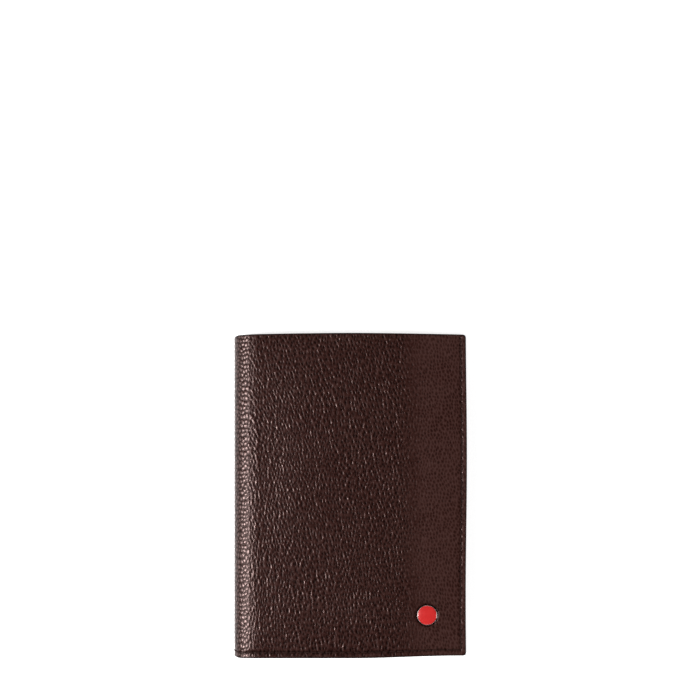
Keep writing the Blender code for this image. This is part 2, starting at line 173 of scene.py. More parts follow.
def drift(a, b, seed):
    """Smooth noise from -1 to 1 that changes over about one unit of a and b."""
    i, j = np.floor(a), np.floor(b)
    fa, fb = a - i, b - j
    fa, fb = fa * fa * (3 - 2 * fa), fb * fb * (3 - 2 * fb)
    low = hashed(i, j, seed) * (1 - fa) + hashed(i + 1, j, seed) * fa
    high = hashed(i, j + 1, seed) * (1 - fa) + hashed(i + 1, j + 1, seed) * fa
    return 2 * (low * (1 - fb) + high * fb) - 1


def cells(p, q, seed, jitter=0.8):
    """Distances to the nearest and the next nearest of points scattered one to a cell, in staggered rows.

    The third result is how far the line between those two points runs along p: 1 for a border along q.
    """
    row = np.floor(q)
    nearest = [np.full(p.shape, 9.0), np.zeros(p.shape), np.zeros(p.shape)]
    following = [np.full(p.shape, 9.0), np.zeros(p.shape), np.zeros(p.shape)]
    for dj in (-1, 0, 1):
        j = row + dj
        shift = 0.5 * np.mod(j, 2)
        column = np.floor(p - shift)
        for di in (-1, 0, 1):
            i = column + di
            dx = i + 0.5 + shift + jitter * (hashed(i, j, seed) - 0.5) - p
            dy = j + 0.5 + jitter * (hashed(i, j, seed + 1) - 0.5) - q
            this = [np.hypot(dx, dy), dx, dy]
            first, second = this[0] < nearest[0], this[0] < following[0]
            following = [
                np.where(first, n, np.where(second, t, f)) for n, t, f in zip(nearest, this, following)
            ]
            nearest = [np.where(first, t, n) for t, n in zip(this, nearest)]
    across = np.abs(following[1] - nearest[1])
    reach = np.hypot(across, following[2] - nearest[2])
    return nearest[0], following[0], across / np.maximum(reach, 1e-6)


# ---------------------------------------------------------------- the shape of the cover


def s_of(x):
    """The s of a place in a cover's flat part."""
    return x - ARC_X + QUARTER * RADIUS


def settled(x, y):
    """Where a point of the drawn outline lies in the real one, whose edges bow a little."""
    up = (y - FOOT) / (HEAD - FOOT)
    across = x / EDGE
    drop = HEAD_BOW * np.abs(across) ** 1.6 + SPINE_PULL * smooth(-x, -ARC_X - 4 * MM, EDGE)
    rise = FOOT_RISE * smooth(across, 0, 0.95)
    wave = EDGE_WAVE * np.cos(2 * math.pi * (up - 0.62) / 0.9) * smooth(across, 0, 1)
    turned = SPINE_ROUND * smooth(-x, -ARC_X + 4.5 * MM, EDGE) ** 2
    return x + wave, y - up * drop + (1 - up) * rise + np.where(up > 0.5, -turned, turned)


def place(cover, s, y, depth=0.0, facing="out"):
    """Points at (s, y) on a face at a depth below the cover's outer face, and the directions that it faces.

    s is always measured on the outer face, and a deeper face has its points at the same turn round the spine.
    """
    s, y, depth = np.broadcast_arrays(s, y, depth)
    radius = RADIUS - depth
    turn = np.minimum(s / RADIUS, QUARTER)
    x = ARC_X - radius * np.cos(turn) + np.maximum(s - QUARTER * RADIUS, 0)
    z = RADIUS + radius * np.sin(turn)
    out_x, out_z = -np.cos(turn), np.sin(turn)
    if cover == "back":
        z, out_z = THICK - z, -out_z
    x, y = settled(x, y)
    out = np.stack([out_x, np.zeros_like(x), out_z], -1)
    return np.stack([x, y, z], -1), out if facing == "out" else -out


def seam_distance(s, y):
    """Distance to the seam, and the distance to its nearest needle hole."""
    to_edge = np.hypot(s - SEAM_S, np.maximum(SEAM_Y - y, 0) + np.maximum(y - SEAM_TOP, 0))
    to_foot = np.hypot(y - SEAM_Y, np.maximum(s - SEAM_S, 0))
    edge_phase = (np.mod((y - SEAM_Y) / EDGE_PITCH + 0.5, 1) - 0.5) * EDGE_PITCH
    foot_phase = (np.mod(s / FOOT_PITCH + 0.5, 1) - 0.5) * FOOT_PITCH
    hole = np.minimum(np.hypot(to_edge, edge_phase), np.hypot(to_foot, foot_phase))
    return np.minimum(to_edge, to_foot), hole


def outer_relief(cover, s, y):
    """Height of the outer leather over the frame's plain face, without its grain."""
    crown = smooth(SEAM_S - s, 0, 16 * MM) * smooth(y - SEAM_Y, 0, 14 * MM) * smooth(HEAD - y, 0, 18 * MM)
    turn = np.minimum(s / RADIUS, QUARTER)
    flat = s - QUARTER * RADIUS
    ease = (1 - smooth(flat, EASE_START, EASE_RUN)) * np.sin(turn) ** 2
    to_seam, to_hole = seam_distance(s, y)
    pinch = SEAM_SINK * np.exp(-((to_seam / (0.75 * MM)) ** 2))
    pinch += 0.05 * MM * np.exp(-((to_seam / (2.2 * MM)) ** 2))
    hole = HOLE_SINK * np.exp(-((to_hole / (0.38 * MM)) ** 2))
    slack = 0.12 * MM * drift(s / (34 * MM), y / (42 * MM), 5) * smooth(SEAM_S - s, 0, 12 * MM)
    soft = CROWN * crown * smooth(flat, -2 * MM, 22 * MM) + slack * smooth(flat, 0, 20 * MM)
    height = soft * (1 if cover == "front" else LAIN_ON) - SPINE_EASE * ease - pinch - hole
    if cover == "front":
        away = np.hypot(s - s_of(BADGE_X), y - BADGE_Y)
        sunk = smooth(away, BADGE_RADIUS - 0.1 * MM, BADGE_RADIUS + 1.5 * MM)
        ditch = 0.1 * MM * np.exp(-(((away - BADGE_RADIUS) / (0.5 * MM)) ** 2))
        height = height * sunk + SEAT * (1 - sunk) - ditch
    return height


# ---------------------------------------------------------------- grain


def pebbles(p, q, seed, crease, dome):
    """Pebbles from 0 in the creases between them to 1 on their tops, which a dome rounds further."""
    first, second, _ = cells(p, q, seed)
    return (1 - np.exp(-(((second - first) / crease) ** 2))) * (1 - dome * first**2)


def net(p, q, seed, width, faint):
    """Ridges from 0 to 1 along the borders between cells, and each point's distance to its cell's middle.

    faint is how much lower the ridges are that run along p.
    """
    first, second, across = cells(p, q, seed, 0.7)
    ridge = np.exp(-(((second - first) / width) ** 2))
    return (1 - faint * (1 - across**2)) * ridge, first


def slanting_grain(p, q, patchy):
    """The cover's grain: long slanting ridges over short ones, with a pit inside each small cell."""
    lean = 0.33 * q + 0.001 * q**2  # the ridges lean more towards the head
    line, _ = net((p + lean) / 1.9, q / 6.6, 21, 0.14, 0.85)
    cross, _ = net((p - 0.25 * q) / 2.8, q / 4.2, 22, 0.13, 0.8)
    short, to_middle = net((p + 0.15 * q) / 1.4, q / 2.0, 23, 0.26, 0.4)
    pit = np.exp(-((to_middle / 0.4) ** 2))
    height = 0.058 * patchy * line + 0.036 * (1.7 - patchy) * cross + 0.03 * short - 0.055 * pit
    # The second result is painted shading: painted shade in the pits, a painted highlight on the ridges.
    return height, 0.1 + 1.1 * pit - 0.8 * line - 0.6 * cross - 0.3 * short


def domed_grain(p, q):
    """The spine's grain: round pebbles, with painted shade in the gaps between them and a painted highlight
    on their tops.
    """
    first, second, _ = cells(p / 1.6, q / 2.0, 24, 0.7)
    gap = np.exp(-(((second - first) / 0.36) ** 2))
    return 0.14 * (0.4 - 1.2 * first**2) - 0.06 * gap, 1.5 * gap - 0.5


def fine_grain(p, q, uneven):
    """The grain near the fore-edge: a low fine net with pits of uneven depth."""
    fine, to_middle = net((p + 0.2 * q) / 1.3, q / 1.8, 25, 0.3, 0.4)
    pit = np.exp(-((to_middle / 0.4) ** 2)) * uneven
    # The second result is painted shading: painted shade in the pits, a painted highlight on the ridges.
    return 0.03 * fine - 0.04 * pit, 1.1 * pit - 0.24 - 0.75 * fine


def painted_shade_in_furrows(cover, s, y):
    """Painted shade: how much darker the leather is painted in the seam's furrow, at its holes and round the
    badge, where shade falls.
    """
    to_seam, to_hole = seam_distance(s, y)
    dark = 0.6 * np.exp(-((to_seam / (0.5 * MM)) ** 2)) + 0.6 * np.exp(-((to_hole / (0.5 * MM)) ** 2))
    if cover == "front":
        to_badge = np.hypot(s - s_of(BADGE_X), y - BADGE_Y) - BADGE_RADIUS
        dark += 1.5 * np.exp(-((to_badge / (0.7 * MM)) ** 2))
    return dark


def outer_grain(cover, s, y):
    """Height of the outer leather's grain, and its painted shading, from -1 for a painted highlight on its
    ridges to 1 for painted shade in its pits.
    """
    u = (s if cover == "front" else -s) / MM
    v = y / MM
    away = np.abs(u)
    p = u + 2.0 * drift(u / 23, v / 29, 11) + 0.4 * drift(u / 4.2, v / 5.1, 12)
    q = v + 2.2 * drift(u / 27, v / 25, 13) + 0.5 * drift(u / 5.3, v / 4.7, 14)
    at_spine = 1 - smooth(away, *SPINE_GRAIN)
    at_edge = smooth(away + drift(u / 9, v / 14, 15), *EDGE_GRAIN)
    patchy = 0.88 + 0.12 * drift(u / 3.1, v / 5.3, 16)
    uneven = 0.6 + 0.4 * drift(u / 1.9, v / 2.4, 17)
    kinds = (slanting_grain(p, q, patchy), domed_grain(p, q), fine_grain(p, q, uneven))
    shares = ((1 - at_spine) * (1 - at_edge), at_spine, at_edge)
    height = sum(kind[0] * share for kind, share in zip(kinds, shares, strict=True))
    hollow = sum(kind[1] * share for kind, share in zip(kinds, shares, strict=True))
    held = 0.35 + 0.65 * smooth(seam_distance(s, y)[0], 0.3 * MM, 1.3 * MM)
    # The painted shading takes in the painted shade of the seam's furrow, its holes and the ring round the
    # badge.
    return height * held * MM, np.clip(hollow + painted_shade_in_furrows(cover, s, y), -1, 1)


def inner_grain(s, y, seed):
    """Height of the finer grain of the pockets' leather, and painted shade that grows the deeper in a crease
    each point lies.
    """
    u, v = s / MM, y / MM
    bend_u = u + 1.6 * drift(u / 17, v / 21, seed)
    bend_v = v + 1.6 * drift(u / 19, v / 16, seed + 1)
    pebble = pebbles(bend_u / 1.5, (bend_v + 0.15 * bend_u) / 1.7, seed + 2, 0.4, 0.3)
    return 0.035 * (pebble - 0.7) * MM, 0.6 * (1 - pebble)


# ---------------------------------------------------------------- meshes


def stations(low, high, step, worked=(True, True)):
    """Positions about a step apart, closer together near the ends that carry a worked edge."""
    near = np.array([0, 0.1, 0.22, 0.38, 0.6]) * MM
    lead = low + near if worked[0] else near[:0]
    tail = high - near[::-1] if worked[1] else near[:0]
    start = low + (1.0 * MM if worked[0] else 0)
    stop = high - (1.0 * MM if worked[1] else 0)
    middle = np.linspace(start, stop, max(2, round((stop - start) / step) + 1))
    return np.concatenate([lead, middle, tail])


def corner_cut(y, foot, head, radius):
    """How far a rounded corner holds the side back at each y."""
    into = np.maximum(np.maximum(foot + radius - y, y - head + radius), 0)
    return radius - np.sqrt(np.maximum(radius**2 - into**2, 0))


def ring_of(ni, nj):
    """The grid's boundary, from the foot's start round by the fore-edge, the head and the spine side."""
    foot = [(i, 0) for i in range(ni - 1)]
    fore = [(ni - 1, j) for j in range(nj - 1)]
    head = [(i, nj - 1) for i in range(ni - 1, 0, -1)]
    spine = [(0, j) for j in range(nj - 1, 0, -1)]
    return np.array(foot + fore + head + spine)


def ring_places(ring):
    """How far round the ring each of its points is, from 0 to 4, with a whole number at each corner."""
    i, j = ring[:, 0] / ring[:, 0].max(), ring[:, 1] / ring[:, 1].max()
    return np.where(j == 0, i, np.where(i == 1, 1 + j, np.where(j == 1, 3 - i, 4 - j)))


def bridge(outer, outer_at, inner, inner_at):
    """Triangles between two closed rings of points, which may have different numbers of points."""
    faces, a, b = [], 0, 0
    outer_at, inner_at = [*outer_at, 4], [*inner_at, 4]
    while a < len(outer) or b < len(inner):
        here, there = outer[a % len(outer)], inner[b % len(inner)]
        if b == len(inner) or (a < len(outer) and outer_at[a + 1] <= inner_at[b + 1]):
            a += 1
            faces.append((here, there, outer[a % len(outer)]))
        else:
            b += 1
            faces.append((here, there, inner[b % len(inner)]))
    return faces


def worked_edge(thickness, round_outer, round_inner):
    """(how far out, what share of the way in) of an edge's points, after its point on the face."""
    turns = [QUARTER * k / 4 for k in range(1, 5)]
    points = [(round_outer * math.sin(t), round_outer * (1 - math.cos(t)) / thickness) for t in turns]
    for t in [0, *turns]:
        reach = round_outer - round_inner * (1 - math.cos(t))
        points.append((reach, 1 - round_inner * (1 - math.sin(t)) / thickness))
    return points


class Grid:
    """The places of a sheet's face, as an even grid over its outline."""

    def __init__(self, left, right, foot, head, step, joined=False):
        """left and right are the outline's sides, as a number or as a function of y."""
        self.joined = joined
        self.y = stations(foot, head, step[1])
        left = left(self.y) if callable(left) else np.full_like(self.y, left)
        right = right(self.y) if callable(right) else np.full_like(self.y, right)
        reach = right.max() - left.min()
        share = stations(0, reach, step[0], (not joined, True)) / reach
        self.s = left + share[:, None] * (right - left)
        self.y = np.broadcast_to(self.y, self.s.shape)
        sides = [right - self.s, self.y - foot, head - self.y] + ([] if joined else [self.s - left])
        self.from_side = np.min(sides, axis=0)


def ways_out(level, normal, ring, joined, flip):
    """Directions out of a sheet at its boundary. A joined side has none, apart from its two ends."""
    away = np.cross(np.roll(level, -1, 0) - np.roll(level, 1, 0), normal) * (-1 if flip else 1)
    away /= np.linalg.norm(away, axis=1)[:, None]
    if joined:
        side = ring[:, 0] == 0
        away[side] = 0
        away[side & (ring[:, 1] == 0)] = (0, -1, 0)
        away[side & (ring[:, 1] == ring[:, 1].max())] = (0, 1, 0)
    return away


def quads(a, b, c, d):
    """Faces between four equal arrays of points."""
    return np.stack([a, b, c, d], -1).reshape(-1, 4).tolist()


def sheet_faces(ni, nj, ring, rings, far):
    """Faces of a closed sheet, and which of them are the cut along its joined side."""
    i, j = np.meshgrid(np.arange(ni - 1), np.arange(nj - 1), indexing="ij")
    corner = (i * nj + j).ravel()
    faces = quads(corner, corner + nj, corner + nj + 1, corner + 1)
    side = ring[:, 0] == 0
    cut = []
    for here, there in zip(rings, rings[1:], strict=False):
        cut += (len(faces) + np.flatnonzero(side & np.roll(side, -1))).tolist()
        faces += quads(here, there, np.roll(there, -1), np.roll(here, -1))
    inner = ring_of(*far.shape)
    faces += bridge(rings[-1], ring_places(ring), far[tuple(inner.T)], ring_places(inner))
    faces += quads(far[:-1, :-1], far[:-1, 1:], far[1:, 1:], far[1:, :-1])
    return faces, cut


def closed_sheet(name, grid, base, out, height, thickness, profile, hollow, flip, coarse=12):
    """A closed mesh of a sheet, with its face on the grid, its worked edge and a plain far side.

    base and out are the face's plain points and directions, and height its relief. The side that is joined to
    the sheet's other half is cut square. The far side has one grid line for every few of the face's.
    """
    ni, nj = base.shape[:2]
    ring = ring_of(ni, nj)
    at = tuple(ring.T)
    face = base + out * height[..., None]
    loop, normal, deep = face[at], out[at], thickness + height[at]
    away = ways_out(base[at], normal, ring, grid.joined, flip)
    uv = np.stack([grid.s, grid.y], -1) / MM
    verts, uvs, rings = [face.reshape(-1, 3)], [uv.reshape(-1, 2)], [ring[:, 0] * nj + ring[:, 1]]
    count = ni * nj
    for reach, share in profile:
        verts.append(loop + away * reach - normal * (deep * share)[:, None])
        uvs.append(uv[at] + away[:, :2] * (reach + deep * share)[:, None] / MM)
        rings.append(np.arange(count, count + len(ring)))
        count += len(ring)
    rows, columns = (np.unique(np.append(np.arange(0, n, coarse), n - 1))[1:-1] for n in (ni, nj))
    verts.append((base - out * thickness)[np.ix_(rows, columns)].reshape(-1, 3))
    uvs.append(uv[np.ix_(rows, columns)].reshape(-1, 2))
    far = np.arange(len(rows) * len(columns)).reshape(len(rows), len(columns)) + count
    faces, cut = sheet_faces(ni, nj, ring, rings, far)
    if flip:
        faces = [face[::-1] for face in faces]
    mesh = bpy.data.meshes.new(name)
    mesh.from_pydata(np.concatenate(verts).tolist(), [], faces)
    mesh.shade_smooth()
    for index in cut if grid.joined else []:
        mesh.polygons[index].use_smooth = False
    rim = len(profile) * len(ring)
    add_uv(mesh, np.concatenate(uvs))
    # Painted shade and highlight on the face only; none on the worked edge or the far side.
    add_values(mesh, "hollow", hollow.ravel(), np.zeros(rim), np.zeros(far.size))
    paint = 1 - smooth(grid.from_side, -0.05 * MM, 0.2 * MM)
    add_values(mesh, "edge", paint.ravel(), np.ones(rim), np.zeros(far.size))
    return mesh


def add_uv(mesh, places):
    layer = mesh.uv_layers.new(name="grain")
    corners = np.empty(len(mesh.loops), np.int32)
    mesh.loops.foreach_get("vertex_index", corners)
    layer.data.foreach_set("uv", places[corners].astype(np.float32).ravel())


def add_values(mesh, name, *parts):
    values = np.concatenate(parts).astype(np.float32)
    mesh.attributes.new(name, "FLOAT", "POINT").data.foreach_set("value", values)


def new_piece(name, mesh, material, slot, *nodes):
    """Links a piece that stands for these nodes."""
    mesh.materials.append(material)
    piece = bpy.data.objects.new(name, mesh)
    bpy.context.scene.collection.objects.link(piece)
    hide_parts(*nodes)
    return piece


def bend(piece, cover):
    """Bakes the transform of a piece that goes round the spine into its mesh, for either cover."""
    if cover == "back":
        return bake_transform(piece)
    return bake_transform(piece)


# ---------------------------------------------------------------- materials


def new_material(name):
    material = bpy.data.materials.new(name)
    material.use_nodes = True
    return material, material.node_tree, material.node_tree.nodes["Principled BSDF"]


def add_node(tree, kind, inputs=None, **settings):
    """A node of this kind, whose inputs are values or other nodes' outputs."""
    node = tree.nodes.new("ShaderNode" + kind)
    for name, value in settings.items():
        setattr(node, name, value)
    for key, value in (inputs or {}).items():
        if isinstance(value, bpy.types.NodeSocket):
            tree.links.new(value, node.inputs[key])
        else:
            node.inputs[key].default_value = value
    return node


def math_node(tree, operation, a, b=0.0, c=0.0):
    return add_node(tree, "Math", {0: a, 1: b, 2: c}, operation=operation).outputs[0]


def noise(tree, vector, size, detail=2.0, roughness=0.5):
    """Noise from 0 to 1 whose features are this many millimetres across."""
    inputs = {"Vector": vector, "Scale": 1 / size, "Detail": detail, "Roughness": roughness}
    return add_node(tree, "TexNoise", inputs, noise_dimensions="2D").outputs["Fac"]


def ranged(tree, value, low, high, to_low=0.0, to_high=1.0):
    """The value's range from low to high, stretched to another range."""
    inputs = {"Value": value, "From Min": low, "From Max": high, "To Min": to_low, "To Max": to_high}
    return add_node(tree, "MapRange", inputs).outputs[0]


def mixed(tree, share, first, second):
    """A colour between two colours."""
    node = add_node(tree, "Mix", {0: share, 6: first, 7: second}, data_type="RGBA")
    return node.outputs[2]


def pattern(tree):
    """The sheet's own places, in millimetres."""
    return add_node(tree, "UVMap", uv_map="grain").outputs[0]


def attribute(tree, name):
    return add_node(tree, "Attribute", attribute_name=name).outputs["Fac"]


def solid_noise(tree, scale, detail):
    """Noise from 0 to 1 through an object's own space, with this many features to a millimetre."""
    own = add_node(tree, "TexCoord").outputs["Object"]
    scaled = add_node(tree, "VectorMath", {0: own, 1: (1 / MM, 1 / MM, 1 / MM)}, operation="MULTIPLY")
    inputs = {"Vector": scaled.outputs[0], "Scale": scale, "Detail": detail}
    return add_node(tree, "TexNoise", inputs).outputs["Fac"]


def paint(tree, shader, colour, roughness):
    tree.links.new(colour, shader.inputs["Base Color"])
    tree.links.new(roughness, shader.inputs["Roughness"])


def add_bump(tree, shader, height, strength, distance):
    bump = add_node(tree, "Bump", {"Height": height, "Strength": strength, "Distance": distance})
    tree.links.new(bump.outputs[0], shader.inputs["Normal"])


def leather_material(name, deep, face, pale, painted_ridge_highlight, gloss, pore):
    """Grained leather: painted shade darkens its pits and creases and a painted highlight pales its ridges,
    with fine pores and a dark edge paint on its cut edges.
    """
    material, tree, shader = new_material(name)
    uv = pattern(tree)
    crease, edge = attribute(tree, "hollow"), attribute(tree, "edge")
    broad = ranged(tree, noise(tree, uv, 14, 3), 0.3, 0.7)
    speck = ranged(tree, noise(tree, uv, 0.55, 3, 0.65), 0.35, 0.7)
    colour = mixed(tree, math_node(tree, "MULTIPLY", broad, 0.6), face, pale)
    colour = mixed(tree, math_node(tree, "MULTIPLY", speck, 0.55), colour, pale)
    # Painted highlight on the ridges, then painted shade in the pits and creases.
    colour = mixed(tree, math_node(tree, "MULTIPLY", crease, -0.8), colour, painted_ridge_highlight)
    colour = mixed(tree, math_node(tree, "MULTIPLY", crease, 0.95), colour, deep)
    colour = mixed(tree, edge, colour, (0.005, 0.0032, 0.003, 1))
    rough = ranged(tree, noise(tree, uv, 1.1, 2), 0.3, 0.7, gloss - 0.05, gloss + 0.06)
    paint(tree, shader, colour, math_node(tree, "MULTIPLY_ADD", crease, 0.06, rough))
    tree.links.new(math_node(tree, "MULTIPLY_ADD", crease, -0.4, 0.5), shader.inputs["Specular IOR Level"])
    shader.inputs["Specular Tint"].default_value = (1.0, 0.73, 0.69, 1)
    grit = noise(tree, uv, 0.22, 2, 0.5)
    pores = add_node(tree, "TexVoronoi", {"Vector": uv, "Scale": 1 / pore}, voronoi_dimensions="2D")
    pit = ranged(tree, pores.outputs["Distance"], 0.05, 0.4)
    relief = math_node(tree, "MULTIPLY_ADD", pit, 0.5, grit)
    face_only = math_node(tree, "SUBTRACT", 1.0, math_node(tree, "MULTIPLY", edge, 0.8))
    add_bump(tree, shader, math_node(tree, "MULTIPLY", relief, face_only), 1.0, 0.004 * MM)
    return material


def twill_material(name, dark, light):
    """Fine twill: diagonal ribs with a small irregularity, in a matt yarn."""
    material, tree, shader = new_material(name)
    uv = pattern(tree)
    split = add_node(tree, "SeparateXYZ", {0: uv})
    across, along = split.outputs[0], split.outputs[1]
    ribs = math_node(tree, "MULTIPLY", math_node(tree, "ADD", across, along), 2 * math.pi / 0.62)
    rib = ranged(tree, math_node(tree, "SINE", ribs), -1, 1)
    yarns = math_node(tree, "SINE", math_node(tree, "MULTIPLY", along, 2 * math.pi / 0.31))
    yarn = ranged(tree, yarns, -1, 1)
    uneven = noise(tree, uv, 0.8, 3)
    weave = math_node(tree, "MULTIPLY_ADD", yarn, 0.35, rib)
    shade = math_node(tree, "MULTIPLY_ADD", uneven, 0.5, math_node(tree, "MULTIPLY", weave, 0.5))
    paint(tree, shader, mixed(tree, shade, dark, light), ranged(tree, uneven, 0.3, 0.7, 0.75, 0.9))
    add_bump(tree, shader, weave, 0.8, 0.06 * MM)
    shader.inputs["Specular IOR Level"].default_value = 0.25
    shader.inputs["Specular Tint"].default_value = (1.0, 0.75, 0.7, 1)
    return material


def thread_material():
    """Waxed thread, with its fibres along it."""
    material, tree, shader = new_material("Thread")
    fibres = noise(tree, pattern(tree), 0.12, 3)
    colour = mixed(tree, fibres, (0.009, 0.002, 0.0015, 1), (0.030, 0.0095, 0.007, 1))
    paint(tree, shader, colour, ranged(tree, fibres, 0.3, 0.7, 0.65, 0.8))
    shader.inputs["Specular IOR Level"].default_value = 0.3
    shader.inputs["Specular Tint"].default_value = (1.0, 0.74, 0.69, 1)
    add_bump(tree, shader, fibres, 0.6, 0.02 * MM)
    return material


def board_material():
    """Grey-brown board with a fibrous surface."""
    material, tree, shader = new_material("Board")
    fibres = solid_noise(tree, 1.4, 5.0)
    colour = mixed(tree, fibres, (0.20, 0.16, 0.12, 1), (0.36, 0.30, 0.23, 1))
    paint(tree, shader, colour, ranged(tree, fibres, 0.3, 0.7, 0.8, 0.95))
    return material


def metal_material():
    """Pale metal with the haze of handling."""
    material, tree, shader = new_material("Bezel metal")
    haze = solid_noise(tree, 1.1, 4.0)
    colour = mixed(tree, haze, (0.34, 0.32, 0.30, 1), (0.46, 0.44, 0.41, 1))
    paint(tree, shader, colour, ranged(tree, haze, 0.3, 0.7, 0.3, 0.42))
    shader.inputs["Metallic"].default_value = 1.0
    return material


def enamel_material():
    """Red enamel under a clear glossy surface."""
    material, tree, shader = new_material("Enamel")
    cloud = solid_noise(tree, 0.7, 3.0)
    colour = mixed(tree, cloud, (0.62, 0.022, 0.022, 1), (0.74, 0.036, 0.034, 1))
    paint(tree, shader, colour, ranged(tree, cloud, 0.3, 0.7, 0.16, 0.22))
    shader.inputs["Coat Weight"].default_value = 0.6
    shader.inputs["Coat Roughness"].default_value = 0.04
    return material


# Colours of each leather: painted shade for the pits and creases, the face, its paler random tone, a painted
# highlight for the ridges, then the gloss and the pore size.
OUTER = leather_material(
    "Outer leather",
    (0.004, 0.0006, 0.0003, 1),
    (0.0265, 0.0062, 0.0042, 1),
    (0.0385, 0.0138, 0.0108, 1),
    (0.080, 0.036, 0.031, 1),
    0.24,
    0.7,
)
INNER = leather_material(
    "Inner leather",
    (0.014, 0.005, 0.004, 1),
    (0.032, 0.0135, 0.0105, 1),
    (0.044, 0.020, 0.016, 1),
    (0.05, 0.025, 0.02, 1),
    0.5,
    0.55,
)
TWILL = twill_material("Lining twill", (0.013, 0.004, 0.003, 1), (0.042, 0.0155, 0.0115, 1))
YARN = thread_material()
BOARD = board_material()
METAL = metal_material()
ENAMEL = enamel_material()


# ---------------------------------------------------------------- the outer leather


def half_of_outer_leather(cover):
    """One half of the outer leather, with its grain as real relief, and the places of its face."""
    foot, head = FOOT + LEATHER_EDGE, HEAD - LEATHER_EDGE

    def side(y):
        return LENGTH - LEATHER_EDGE - corner_cut(y, foot, head, CORNER - LEATHER_EDGE)

    grid = Grid(0, side, foot, head, BODY_STEP, joined=True)
    base, out = place(cover, grid.s, grid.y)
    grain, hollow = outer_grain(cover, grid.s, grid.y)
    height = outer_relief(cover, grid.s, grid.y) + grain * smooth(grid.from_side, 0, 0.8 * MM)
    profile = worked_edge(LEATHER, LEATHER_EDGE, LEATHER_BACK_EDGE)
    name, flip = f"outer_leather_{cover}", cover == "back"
    mesh = closed_sheet(name, grid, base, out, height, LEATHER, profile, hollow, flip)
    return mesh, base + out * height[..., None]


def make_outer_leather():
    """Both halves, shaded as one sheet where they meet in the middle of the spine."""
    halves = {cover: half_of_outer_leather(cover) for cover in COVERS}
    for cover, (mesh, face) in halves.items():
        other = halves["back" if cover == "front" else "front"][1]
        up = np.gradient(face[0], axis=0)
        normal = np.cross(face[1] - other[1], up)
        normal = normal / np.linalg.norm(normal, axis=1)[:, None]
        normals = np.zeros((len(mesh.vertices), 3))
        normals[: face.shape[1]] = normal
        mesh.normals_split_custom_set_from_vertices(normals.tolist())
        nodes = [f"{cover}_leather", "spine_leather"]
        bend(new_piece(mesh.name, mesh, OUTER, "outer_leather", *nodes), cover)


# ---------------------------------------------------------------- linings, panels and pockets


def make_cloth(label, depth, thickness, reach, head):
    """The halves of a cloth sheet that goes round the spine."""
    for cover in COVERS:
        edge = thickness / 2
        foot = FOOT + SET_IN + edge
        grid = Grid(0, s_of(reach) - edge, foot, head - edge, CLOTH_STEP, joined=True)
        base, out = place(cover, grid.s, grid.y, depth + thickness, "in")
        height = 0.03 * MM * drift(grid.s / (9 * MM), grid.y / (11 * MM), 31)
        profile = worked_edge(thickness, edge * 0.98, edge * 0.98)
        name, flip = f"{label}_{cover}", cover == "front"
        mesh = closed_sheet(name, grid, base, out, height, thickness, profile, height * 0, flip, 4)
        piece = new_piece(name, mesh, TWILL, "lining_fabric", f"{cover}_{label}", f"spine_{label}")
        bend(piece, cover)


def pocket_relief(s, y, from_side):
    """Height of a pocket's face: softly padded inside a pressed line along its edges."""
    pad = 0.1 * MM * smooth(from_side, 0.8 * MM, 5 * MM)
    line = 0.07 * MM * np.exp(-(((from_side - FOLD_LINE) / (0.22 * MM)) ** 2))
    slack = 0.04 * MM * drift(s / (22 * MM), y / (26 * MM), 41)
    return (pad + slack) * smooth(from_side, 0.3 * MM, 3 * MM) - line


def plain_side(y, foot, head):
    """How far a pocket's spine side is held back at each y: not at all."""
    return np.zeros_like(y)


def panel_side(y, foot, head):
    return corner_cut(y, foot, head, PANEL_CORNER)


def thumb_side(y, foot, head):
    """The curve cut into the sleeve's mouth, with its corners eased."""
    radius = (THUMB_CHORD**2 / 4 + THUMB_DEPTH**2) / (2 * THUMB_DEPTH)
    low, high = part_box("passport_sleeve")
    away = np.abs(y - (low[1] + high[1]) / 2)
    cut = np.sqrt(np.maximum(radius**2 - away**2, 0)) - (radius - THUMB_DEPTH)
    eased = 0.4 * MM
    return np.logaddexp(cut / eased, 0) * eased


def make_pocket(node, cover, seed, spine_side=plain_side):
    """An inner panel, a card slot or the sleeve, in the place of its node."""
    low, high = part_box(node)
    thickness = high[2] - low[2]
    depth = high[2] if cover == "back" else THICK - low[2]
    edge = thickness * 0.4
    foot, head = low[1] + SET_IN + edge, high[1] - edge

    def left(y):
        return s_of(low[0]) + edge + spine_side(y, foot, head)

    def right(y):
        return s_of(high[0]) - SET_IN - edge - corner_cut(y, foot, head, max(CORNER - edge, 0.1 * MM))

    grid = Grid(left, right, foot, head, INNER_STEP)
    base, out = place(cover, grid.s, grid.y, depth, "in")
    grain, hollow = inner_grain(grid.s, grid.y, seed)
    # Painted shade along the pressed line.
    hollow += 0.7 * np.exp(-(((grid.from_side - FOLD_LINE) / (0.3 * MM)) ** 2))
    height = pocket_relief(grid.s, grid.y, grid.from_side) + grain * smooth(grid.from_side, 0, 0.8 * MM)
    profile = worked_edge(thickness, edge, edge * 0.9)
    name, flip = node + "_leather", cover == "front"
    mesh = closed_sheet(name, grid, base, out, height, thickness, profile, hollow, flip, 6)
    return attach(new_piece(name, mesh, INNER, "inner_leather", node), cover + "_cover")


def make_pockets():
    make_pocket("back_inner_panel", "back", 51, panel_side)
    make_pocket("front_inner_panel", "front", 54, panel_side)
    for index, label in enumerate(("upper", "middle", "lower")):
        make_pocket(f"card_slot_{label}", "front", 57 + 3 * index)
    make_pocket("passport_sleeve", "back", 70, thumb_side)


# ---------------------------------------------------------------- stitches


def seam_holes():
    """The seam's needle holes: down the fore-edge from the head, and along the foot to the spine's middle."""
    down = [(SEAM_S, SEAM_Y + EDGE_PITCH * k) for k in range(EDGE_HOLES, 0, -1)]
    foot = [(FOOT_PITCH * k, SEAM_Y) for k in range(FOOT_HOLES, -1, -1)]
    return np.array(down + foot)


